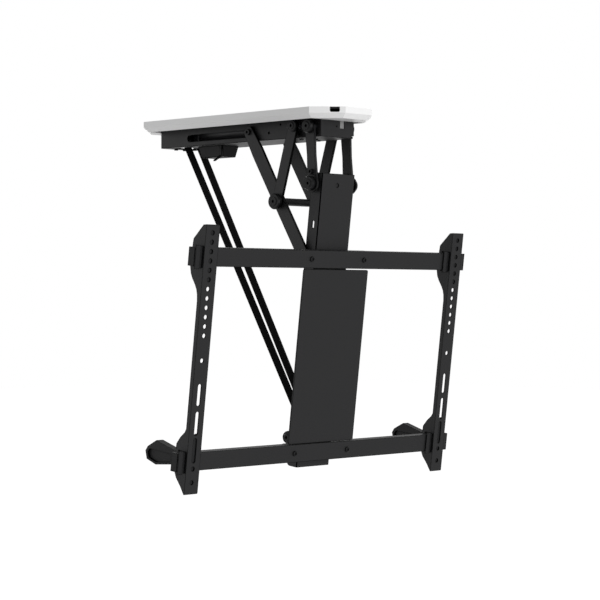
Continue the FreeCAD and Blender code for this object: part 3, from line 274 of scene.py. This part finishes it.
def moulded(name, colour, roughness, grain_mm=1.2, edge_shade_mm=0.0):
    """A pebbled matt plastic; a nonzero edge width paints shade along its edges."""
    made, tree, shader, place = start_material(name)
    pebbles = add(tree, "ShaderNodeTexVoronoi", {"Scale": cycles_per_metre(grain_mm)}, {"Vector": place})
    distance = pebbles.outputs["Distance"]
    bump = add(tree, "ShaderNodeBump", {"Strength": 0.3, "Distance": PEBBLE_HEIGHT}, {"Height": distance})
    rough = add(tree, "ShaderNodeMapRange",
                {"To Min": roughness - PEBBLE_SWING, "To Max": roughness + PEBBLE_SWING},
                {"Value": distance})
    ramp = add(tree, "ShaderNodeValToRGB", links={"Fac": distance})
    ramp.color_ramp.elements[0].color = linear(colour)
    ramp.color_ramp.elements[1].color = lighter(colour, PEBBLE_LIGHTER)
    tree.links.new(ramp.outputs["Color"], shader.inputs["Base Color"])
    # painted shade along the edges, when an edge width is given
    if edge_shade_mm:
        paint_edge_shade(tree, shader, ramp.outputs["Color"], edge_shade_mm)
    tree.links.new(rough.outputs["Result"], shader.inputs["Roughness"])
    tree.links.new(bump.outputs["Normal"], shader.inputs["Normal"])
    shader.inputs["Specular IOR Level"].default_value = NYLON_GLOSS
    shader.inputs["IOR"].default_value = NYLON_IOR
    return made


# the box and the clamps get painted shade along their edges
black_nylon = moulded("moulded_black_nylon", "#0D0D0E", 0.55, edge_shade_mm=2.4)
clamp_nylon = moulded("moulded_black_clamp_nylon", "#161617", 0.5, edge_shade_mm=2.0)
board_green = moulded("solder_masked_board", "#1E5A34", 0.35)
print("made", black_nylon.name, clamp_nylon.name, board_green.name)

# %% [markdown]
# ## Metals inside
# Spacers, pivot tubes, cover posts and the drum's shaft are zinc plated: bright, slightly blue and finely
# brushed. Brush marks are a noise drawn out along one axis, which the Mapping node does by squeezing the
# coordinates. The motor's can and its gearbox are painted dark grey, which is a powder coat again.

# %% Zinc plate and motor paint
BRUSH_MM = 2.0
BRUSH_SQUEEZE = 0.05  # the marks are twenty times as long as they are wide
zinc_steel, tree, shader, place = start_material("zinc_plated_steel")
drawn = add(tree, "ShaderNodeMapping", {"Scale": (1.0, BRUSH_SQUEEZE, 1.0)}, {"Vector": place})
marks = add(tree, "ShaderNodeTexNoise", {"Scale": cycles_per_metre(BRUSH_MM), "Detail": 5.0},
            {"Vector": drawn.outputs["Vector"]})
rough = add(tree, "ShaderNodeMapRange", {"To Min": 0.25, "To Max": 0.45}, {"Value": marks.outputs["Fac"]})
bump = add(tree, "ShaderNodeBump", {"Strength": 0.25, "Distance": 0.05 * MM},
           {"Height": marks.outputs["Fac"]})
tree.links.new(rough.outputs["Result"], shader.inputs["Roughness"])
tree.links.new(bump.outputs["Normal"], shader.inputs["Normal"])
shader.inputs["Base Color"].default_value = linear("#B9BCC0")
shader.inputs["Metallic"].default_value = 1.0

motor_paint = powder_coat("grey_painted_motor_can", "#2C2C2E", 0.45)
print("made", zinc_steel.name, "and", motor_paint.name)

# %% [markdown]
# ## Polyester webbing
# The lifting straps are black polyester webbing in a plain weave, whose threads are about a millimetre
# wide and so hardly a pixel here. Two wave textures, one across and one along the strap, stand for them.
# They are drawn much coarser, almost 9 mm from crest to crest, so that the straps show some texture at
# all. The coordinates are the strap's own, so the weave runs with it and stays with it when it moves.
# Modelled threads would cost many thousand faces for the same look.

# %% Webbing
WEAVE_MM = 8.796  # from crest to crest
WAVE_TURN = 20  # a wave texture turns by this many radians over one unit, at a scale of 1
wave_scale = 2 * math.pi * cycles_per_metre(WEAVE_MM) / WAVE_TURN
black_webbing, tree, shader, place = start_material("black_polyester_webbing")
grid = add(tree, "ShaderNodeUVMap", uv_map="weave").outputs["UV"]
crossing, running = [
    add(tree, "ShaderNodeTexWave", {"Scale": wave_scale, "Distortion": 0.3}, {"Vector": grid},
        bands_direction=way)
    for way in ("X", "Y")
]
weave = add(tree, "ShaderNodeMath", operation="MULTIPLY",
            links={0: crossing.outputs["Fac"], 1: running.outputs["Fac"]})
ramp = add(tree, "ShaderNodeValToRGB", links={"Fac": weave.outputs["Value"]})
ramp.color_ramp.elements[0].color = linear("#050505")
ramp.color_ramp.elements[1].color = linear("#131314")
bump = add(tree, "ShaderNodeBump", {"Strength": 0.6, "Distance": 0.2 * MM},
           {"Height": weave.outputs["Value"]})
tree.links.new(ramp.outputs["Color"], shader.inputs["Base Color"])
tree.links.new(bump.outputs["Normal"], shader.inputs["Normal"])
shader.inputs["Roughness"].default_value = 0.85
shader.inputs["Specular IOR Level"].default_value = 0.05
shader.inputs["Sheen Weight"].default_value = 0.03
print("made", black_webbing.name)

# %% [markdown]
# ## Dress the rigid pieces
# The imported record names a finish for each node, so one table from finish to material dresses them all.
# A few nodes look otherwise in the photograph than their finish says, and a second table holds those:
# the ceiling plate's edge shows black through the notch, the clamps are lighter than the other nylon, and
# the cross tube is round, so it has no folds to take painted shade.

# %% Assign the finishes
FINISHES = {
    "white_plastic": white_cover,
    "black_steel": black_steel,
    "black_bolts": black_bolts,
    "black_plastic": black_nylon,
    "black_webbing": black_webbing,
    "zinc_steel": zinc_steel,
    "motor_steel": motor_paint,
    "board_green": board_green,
}
EXCEPTIONS = {
    "ceiling_plate": black_tube,
    "cross_tube": black_tube,
    "clamps_left": clamp_nylon,
    "clamps_right": clamp_nylon,
}
slot_of = {row["node"]: row["material_slot"] for row in frame["record"]["subparts"]}
for name, node in nodes.items():
    node.data.materials.clear()
    node.data.materials.append(EXCEPTIONS.get(name, FINISHES[slot_of[name]]))
print("dressed", len(nodes), "nodes,", len(EXCEPTIONS), "of them as exceptions")

# %% [markdown]
# ## Smooth the round pieces
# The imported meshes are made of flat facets. Shading all of them smooth would make plates look like
# pillows. Smooth only below a set angle makes turned heads and tubes look round, while folds and cut
# edges stay crisp.

# %% Smooth by angle
SMOOTH_BELOW = math.radians(28)
for node in nodes.values():
    node.data.polygons.foreach_set("use_smooth", [True] * len(node.data.polygons))
    node.data.set_sharp_from_angle(angle=SMOOTH_BELOW)
print("smoothed below", round(math.degrees(SMOOTH_BELOW)), "degrees")

# %% [markdown]
# ## Shapes from rings
# The straps and the window's plug aren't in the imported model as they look, so they are made here. Both
# are rows of rings of corners, joined by bands of faces. A curve with a bevel would be shorter to write,
# but a mesh lets every face know its place in the weave.

# %% Helpers for shapes from rings


def join_rings(mesh, near, far):
    """A band of four-cornered faces between two rings with as many corners."""
    count = len(near)
    return [mesh.faces.new((near[j], near[(j + 1) % count], far[(j + 1) % count], far[j]))
            for j in range(count)]


def close_ends(mesh, first, last):
    """A face on each end of a row of rings."""
    mesh.faces.new(list(reversed(first)))
    mesh.faces.new(last)


def make_piece(name, mesh, material):
    """Turns a finished bmesh into an object of one material."""
    bmesh.ops.recalc_face_normals(mesh, faces=mesh.faces)
    data = bpy.data.meshes.new(name)
    mesh.to_mesh(data)
    mesh.free()
    data.materials.append(material)
    print(name, "has", len(data.polygons), "faces")
    return put(name, data)


# %% [markdown]
# ## A strip of webbing
# Webbing is a flat strip whose edges are rolled a little thicker than its middle. Its cross-section is a
# short closed outline, and one function sweeps it along a row of middle points, open for a strap and
# closed for a loop. It also gives every face its place in the weave, in metres across and along.

# %% Strip of webbing
STRAP_WIDE = 17.8 * MM
STRAP_THICK = 1.2 * MM
STRAP_EDGE = 1.1 * MM  # half the width of a rolled edge
TIP_SHARE, FLAT_SHARE = 0.7, 0.75  # thickness at the tip of the edge and in the middle, over the roll's


def strip_section():
    """Cross-section of the webbing: across its width and through its thickness."""
    half, thin = STRAP_WIDE / 2, STRAP_THICK / 2
    face = [(-half, TIP_SHARE), (-half + STRAP_EDGE, 1.0), (-half + 2 * STRAP_EDGE, FLAT_SHARE),
            (half - 2 * STRAP_EDGE, FLAT_SHARE), (half - STRAP_EDGE, 1.0), (half, TIP_SHARE)]
    return [(x, -thin * up) for x, up in face] + [(x, thin * up) for x, up in reversed(face)]


def weave_strip(name, middles, outs, across, closed=False):
    """Sweeps the webbing's section along middle points; outs say which way its face looks at each."""
    section = strip_section()
    mesh = bmesh.new()
    weave = mesh.loops.layers.uv.new("weave")
    rings = [[mesh.verts.new(middle + across * x + out * y) for x, y in section]
             for middle, out in zip(middles, outs)]
    following = rings[1:] + (rings[:1] if closed else [])
    run = 0.0
    for i, (near, far) in enumerate(zip(rings, following)):
        step = (middles[(i + 1) % len(middles)] - middles[i]).length
        for j, face in enumerate(join_rings(mesh, near, far)):
            here, beside = section[j][0], section[(j + 1) % len(section)][0]
            places = (here, run), (beside, run), (beside, run + step), (here, run + step)
            for corner, place in zip(face.loops, places):
                corner[weave].uv = place
        run += step
    if not closed:
        close_ends(mesh, rings[0], rings[-1])
    print(name, "runs", round(run / MM, 1), "mm")
    return make_piece(name, mesh, black_webbing)


# %% [markdown]
# ## Lifting straps
# Each strap runs in a straight line from the winch drum to the sleeve on the column's axle, because it is
# pulled tight, and ends in a loop that is sewn round the sleeve. The imported strips give both ends. The
# strap rides on the straps' body, and the loop rides on the column, so the strap can turn about the
# sleeve and leave its loop where it is.

# %% Where the straps begin and end
END_REACH = 1.2 * STRAP_WIDE  # corners this close to the outermost one belong to the same end
sleeve_low, sleeve_high = [Vector(corner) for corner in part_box("strap_sleeve")]
sleeve_middle = (sleeve_low + sleeve_high) / 2
sleeve_radius = (sleeve_high.z - sleeve_low.z) / 2


def strap_ends(node):
    """Middle points of the upper and the lower end of a packed strap."""
    points = [Vector(v.co) for v in nodes[node].data.vertices]
    top = max(points, key=lambda p: p.z)
    low = min(points, key=lambda p: p.z)
    upper = [p for p in points if (p - top).length < END_REACH]
    lower = [p for p in points if (p - low).length < END_REACH]
    return sum(upper, Vector()) / len(upper), sum(lower, Vector()) / len(lower)


print("sleeve of", round(2 * sleeve_radius / MM, 1), "mm across")

# %% Straps and their loops
STRAP_STEPS = 120
LOOP_STEPS = 48
LOOP_GAP = 0.06 * MM
loop_radius = sleeve_radius + LOOP_GAP + STRAP_THICK / 2

for side in ("left", "right"):
    start, end = strap_ends("strap_" + side)
    way = (end - start).normalized()
    # the strap goes into its loop where its inner face meets the loop's outer one
    inner, outer = sleeve_radius, loop_radius + STRAP_THICK / 2
    end = end - way * math.sqrt(outer**2 - inner**2)
    across = (Vector((1, 0, 0)) - way * way.x).normalized()
    out = way.cross(across).normalized()
    middles = [start.lerp(end, i / STRAP_STEPS) for i in range(STRAP_STEPS + 1)]
    piece = weave_strip("strap_" + side + "_woven", middles, [out] * len(middles), across)
    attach(piece, "straps")
    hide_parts("strap_" + side)
    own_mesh(piece)

    # the loop is sewn round the sleeve, under the end of its strap
    centre = Vector((end.x, sleeve_middle.y, sleeve_middle.z))
    turns = [2 * math.pi * i / LOOP_STEPS for i in range(LOOP_STEPS)]
    outs = [Vector((0, math.cos(turn), math.sin(turn))) for turn in turns]
    middles = [centre + out * loop_radius for out in outs]
    loop = weave_strip("strap_loop_" + side, middles, outs, Vector((1, 0, 0)), closed=True)
    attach(loop, "column")

# %% [markdown]
# ## Plug in the front window
# The front plate of the channel has an upright window, and the photograph shows something plain and light
# grey filling it. It reads as a moulded plug that is pushed in from behind: a block that fits the window,
# with a thin lip inside. A bevelled box would have no lip, so the outline is stepped from the dished face
# back to the lip as rings of corners, which are then joined.

# %% Size of the plug, in mm
WINDOW_LEFT, WINDOW_WIDE = 6.6, 10.1
WINDOW_TOP, WINDOW_TALL = -16.2, 15.2
PLATE_FRONT, PLATE_BACK = -201.9, -199.4
PLUG_GAP = 0.06
LIP = 1.0
# how far in from the window's edge, where from front to back, and the radius of the corners
PLUG_RINGS = [
    (1.6, PLATE_FRONT + 1.0, 0.6),  # floor of the dished face
    (1.2, PLATE_FRONT + 0.7, 0.6),
    (0.5, PLATE_FRONT + 0.5, 0.6),  # its rim, just behind the plate's front
    (PLUG_GAP, PLATE_FRONT + 0.9, 0.4),
    (PLUG_GAP, PLATE_BACK + PLUG_GAP, 0.4),  # end of the block that fills the window
    (-LIP, PLATE_BACK + PLUG_GAP, 1.0),
    (-LIP, PLATE_BACK + LIP, 1.0),  # back of the lip
]
print("window of", WINDOW_WIDE, "by", WINDOW_TALL, "mm")

# %% Grey plug
CORNER_TURNS = 0, 30, 60, 90  # degrees at which each rounded corner has a point


def window_ring(mesh, inset, y, radius):
    """Corners of a rounded upright rectangle, set in from the window's edge."""
    middle = Vector((WINDOW_LEFT + WINDOW_WIDE / 2, y, WINDOW_TOP - WINDOW_TALL / 2))
    half_wide = WINDOW_WIDE / 2 - inset - radius
    half_tall = WINDOW_TALL / 2 - inset - radius
    ring = []
    for quarter, (right, up) in enumerate(((1, 1), (-1, 1), (-1, -1), (1, -1))):
        for turn in CORNER_TURNS:
            angle = math.radians(90 * quarter + turn)
            x = right * half_wide + radius * math.cos(angle)
            z = up * half_tall + radius * math.sin(angle)
            ring.append(mesh.verts.new((middle + Vector((x, 0, z))) * MM))
    return ring


grey_nylon = moulded("moulded_grey_nylon", "#7C7C7C", 0.5)
mesh = bmesh.new()
rings = [window_ring(mesh, *row) for row in PLUG_RINGS]
for near, far in zip(rings, rings[1:]):
    join_rings(mesh, near, far)
close_ends(mesh, rings[0], rings[-1])
plug = make_piece("window_plug", mesh, grey_nylon)
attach(plug, "ceiling_unit")

# %% [markdown]
# ## Camera
# The photograph is taken from the front left with a long lens, level with the middle of the column.
# Upright edges stay upright in it, so the camera isn't tilted, and a small shift of the lens moves the
# picture instead. The lens and the distance were solved from the straight edges of the rails and the
# brackets.

# %% Camera at the photograph's view
CAMERA_PLACE = Vector((-2423.5, -2486.7, -316.2)) * MM
LEVEL = math.radians(90)
VIEW_TURN = math.radians(-45.6)
camera_data = bpy.data.cameras.new("camera")
camera_data.lens = 118.34
camera_data.sensor_width = 36.0
camera_data.shift_y = -0.005
camera_data.clip_end = 100
camera = put("camera", camera_data)
camera.location = CAMERA_PLACE
camera.rotation_euler = (LEVEL, 0, VIEW_TURN)
bpy.context.scene.camera = camera
print("camera", round(CAMERA_PLACE.length, 2), "m from the ceiling unit")

# %% [markdown]
# ## Floor
# The mount hangs in the air, so a pale floor lies well below it, and low views still see the mount from
# underneath. Pale paint alone would come out grey in soft light, and more light would bleach the white
# cover. So the floor glows a little, and only for rays that look at it straight, in a gloss or through
# glass. What it sends up to the mount stays natural.

# %% Pale floor
FLOOR_DROP = 2.2
FLOOR_REACH = 30
FLOOR_LIFT = 0.72


def background_rays(tree):
    """1 for rays that should meet the plain white studio: those of the camera, of gloss and of glass."""
    path = add(tree, "ShaderNodeLightPath")
    first = add(tree, "ShaderNodeMath", operation="MAXIMUM",
                links={0: path.outputs["Is Camera Ray"], 1: path.outputs["Is Glossy Ray"]})
    both = add(tree, "ShaderNodeMath", operation="MAXIMUM",
               links={0: first.outputs["Value"], 1: path.outputs["Is Transmission Ray"]})
    return both.outputs["Value"]


floor_paint = bpy.data.materials.new("pale_floor")
floor_paint.use_nodes = True
tree = floor_paint.node_tree
tree.nodes.clear()
matt = add(tree, "ShaderNodeBsdfDiffuse", {"Color": linear("#E0E0E0")})
lift = add(tree, "ShaderNodeMapRange", {"To Min": 0.0, "To Max": FLOOR_LIFT},
           {"Value": background_rays(tree)})
glow = add(tree, "ShaderNodeEmission", {"Color": (1, 1, 1, 1)}, {"Strength": lift.outputs["Result"]})
both = add(tree, "ShaderNodeAddShader", links={0: matt.outputs["BSDF"], 1: glow.outputs["Emission"]})
add(tree, "ShaderNodeOutputMaterial", links={"Surface": both.outputs["Shader"]})

corners = [(-1, -1), (1, -1), (1, 1), (-1, 1)]
floor_data = bpy.data.meshes.new("floor")
floor_data.from_pydata([(x * FLOOR_REACH, y * FLOOR_REACH, 0) for x, y in corners], [], [(0, 1, 2, 3)])
floor_data.materials.append(floor_paint)
floor = put("floor", floor_data)
floor.location.z = -FLOOR_DROP
print("floor", FLOOR_DROP, "m below the ceiling")

# %% [markdown]
# ## Sky
# The sky gives an even light from all sides. It shows as plain white behind the mount, by the same rays
# as on the floor, and is weaker for its light on the mount, so that the lamps can shape it.

# %% Even sky
SKY_LIGHT = 0.44
world = bpy.data.worlds.new("studio")
bpy.context.scene.world = world
world.use_nodes = True
tree = world.node_tree
tree.nodes.clear()
level = add(tree, "ShaderNodeMapRange", {"To Min": SKY_LIGHT, "To Max": 1.0},
            {"Value": background_rays(tree)})
dome = add(tree, "ShaderNodeBackground", {"Color": (1, 1, 1, 1)}, {"Strength": level.outputs["Result"]})
add(tree, "ShaderNodeOutputWorld", links={"Surface": dome.outputs["Background"]})
print("sky of strength", SKY_LIGHT)

# %% [markdown]
# ## Lamps
# One wide soft lamp in front gives the white cover its bright front. A weaker one behind on the left
# leaves the cover's side darker than its front, as in the photograph. A third behind on the right lights
# the back, on faces that the photograph doesn't show. Small hard lamps would draw sharp shadows, and the
# photograph has none.

# %% Soft lamps
LAMP_SIZE = 2.0
LAMP_TARGET = Vector((0, 0, -0.3))
LAMPS = {  # place in metres, and power in watts
    "front_lamp": ((0.1, -3.3, -0.1), 73),
    "rear_left_lamp": ((-1.5, 3.0, -0.1), 23),
    "rear_right_lamp": ((0.9, 3.3, 0.4), 45),
}
for name, (place, power) in LAMPS.items():
    lamp_data = bpy.data.lights.new(name, "AREA")
    lamp_data.size = LAMP_SIZE
    lamp_data.energy = power
    lamp = put(name, lamp_data)
    lamp.location = place
    lamp.rotation_euler = (LAMP_TARGET - Vector(place)).to_track_quat("-Z", "Y").to_euler()
    print(name, power, "W")

# %% [markdown]
# ## View settings
# The Standard view shows colours as they are written, without the film look that Blender starts with.

# %% Settings
bpy.context.scene.view_settings.view_transform = "Standard"
